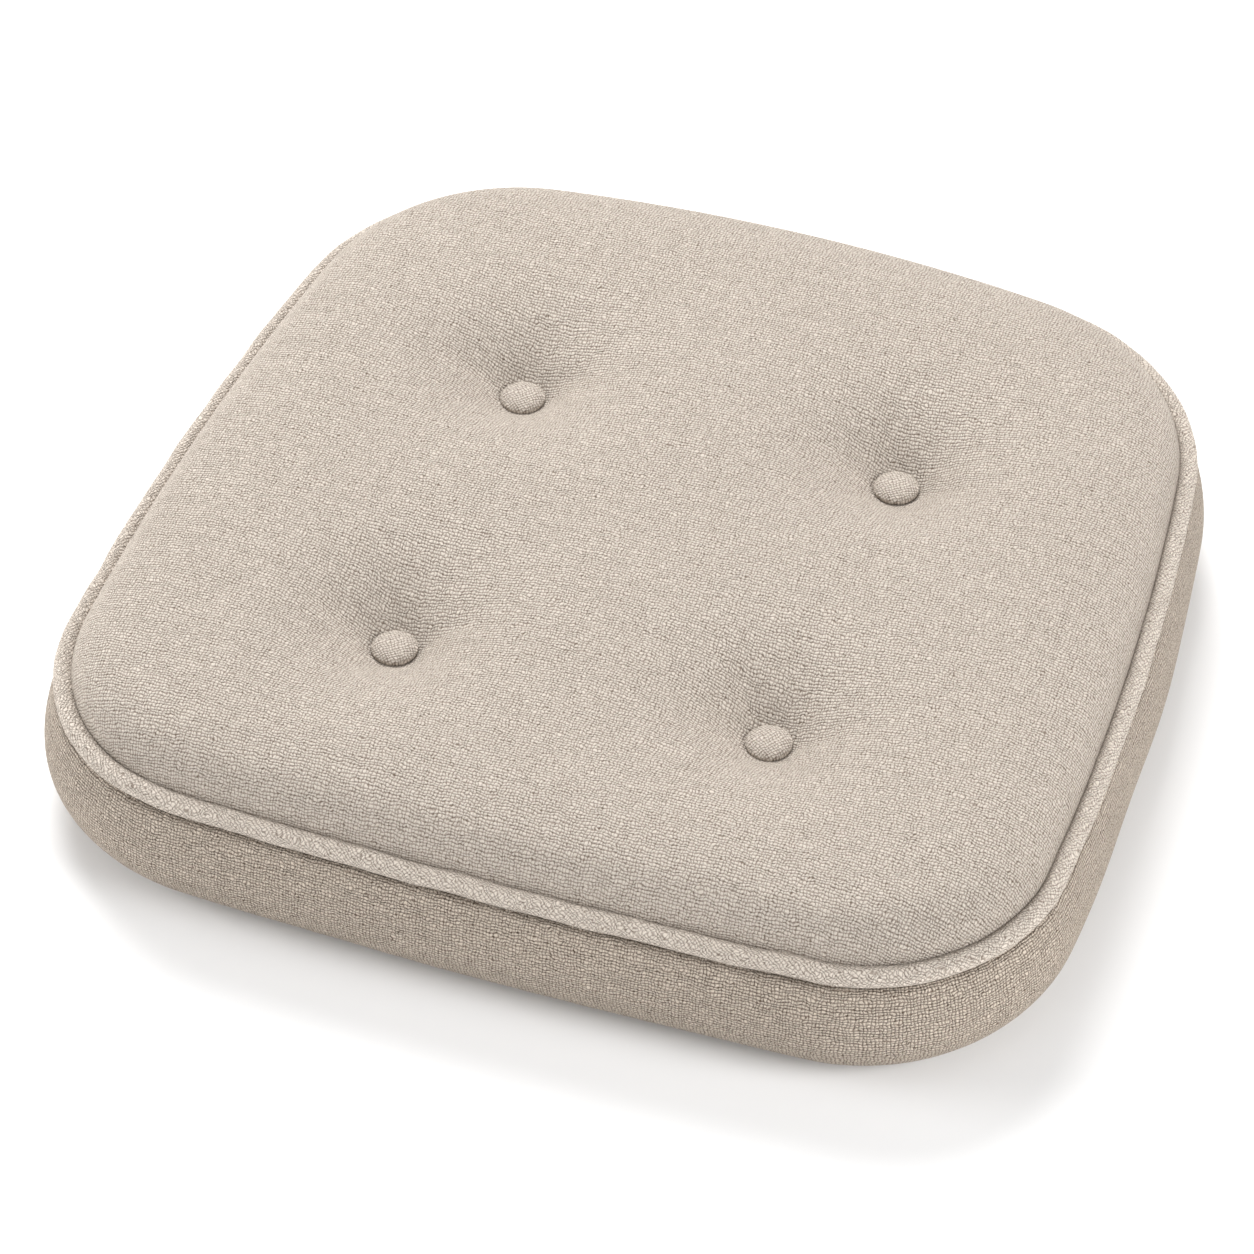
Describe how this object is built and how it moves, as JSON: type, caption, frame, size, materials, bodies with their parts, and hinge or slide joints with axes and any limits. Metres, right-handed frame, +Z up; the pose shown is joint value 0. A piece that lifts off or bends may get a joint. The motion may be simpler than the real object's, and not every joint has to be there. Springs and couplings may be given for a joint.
{
  "type": "chair seat pad",
  "caption": "Boxed, button-tufted chair seat pad with rounded corners, a welted top edge, a foam core and a zip across the back.",
  "frame": {"origin": "under the middle of the pad, on the plane it rests on", "axes": "+Z up, +Y towards the back of the seat, +X to the sitter's left-right width; the wide straight edge is at -Y"},
  "size_m": [0.4324, 0.4206, 0.085],
  "materials": {
    "cover_cloth": "plain-weave linen-look upholstery cloth, greige",
    "foam": "cream polyurethane seat foam, matt",
    "wadding": "white polyester fibre wadding",
    "piping_cord": "twisted cotton piping cord",
    "button_metal": "pressed tinplate",
    "eye_wire": "bright drawn wire",
    "twine": "waxed nylon tufting twine",
    "backing_plastic": "matt moulded plastic, beige",
    "zip_tape": "woven polyester tape, beige",
    "zip_coil": "nylon monofilament coil, beige",
    "zip_metal": "satin nickel plate"
  },
  "bodies": {
    "pad": {"backing_button_back_left": "backing_plastic", "backing_button_back_right": "backing_plastic", "backing_button_front_left": "backing_plastic", "backing_button_front_right": "backing_plastic", "bottom_panel": "cover_cloth", "bottom_wadding": "wadding", "button_back_back_left": "button_metal", "button_back_back_right": "button_metal", "button_back_front_left": "button_metal", "button_back_front_right": "button_metal", "button_cover_back_left": "cover_cloth", "button_cover_back_right": "cover_cloth", "button_cover_front_left": "cover_cloth", "button_cover_front_right": "cover_cloth", "button_eye_back_left": "eye_wire", "button_eye_back_right": "eye_wire", "button_eye_front_left": "eye_wire", "button_eye_front_right": "eye_wire", "button_shell_back_left": "button_metal", "button_shell_back_right": "button_metal", "button_shell_front_left": "button_metal", "button_shell_front_right": "button_metal", "foam_core": "foam", "front_boxing": "cover_cloth", "rear_boxing_lower": "cover_cloth", "rear_boxing_upper": "cover_cloth", "side_wadding": "wadding", "top_panel": "cover_cloth", "top_wadding": "wadding", "tuft_twine_back_left": "twine", "tuft_twine_back_right": "twine", "tuft_twine_front_left": "twine", "tuft_twine_front_right": "twine", "welt_cord": "piping_cord", "welt_cover": "cover_cloth", "zip_bottom_stop": "zip_metal", "zip_coil_lower": "zip_coil", "zip_coil_upper": "zip_coil", "zip_tape_lower": "zip_tape", "zip_tape_upper": "zip_tape", "zip_top_stops": "zip_metal"},
    "slider": {"zip_slider": "zip_metal"},
    "pull": {"zip_pull": "zip_metal"}
  },
  "joints": [
    {"name": "slider_travel", "type": "hinge", "parent": "pad", "child": "slider", "pos_m": [0, -0.5542, 0.0254], "axis": [0, 0, 1], "range_deg": [0, 14.6]},
    {"name": "pull_flip", "type": "hinge", "parent": "slider", "child": "pull", "pos_m": [0.09749, 0.20683, 0.0254], "axis": [0, 0, -1], "range_deg": [0, 175]}
  ]
}
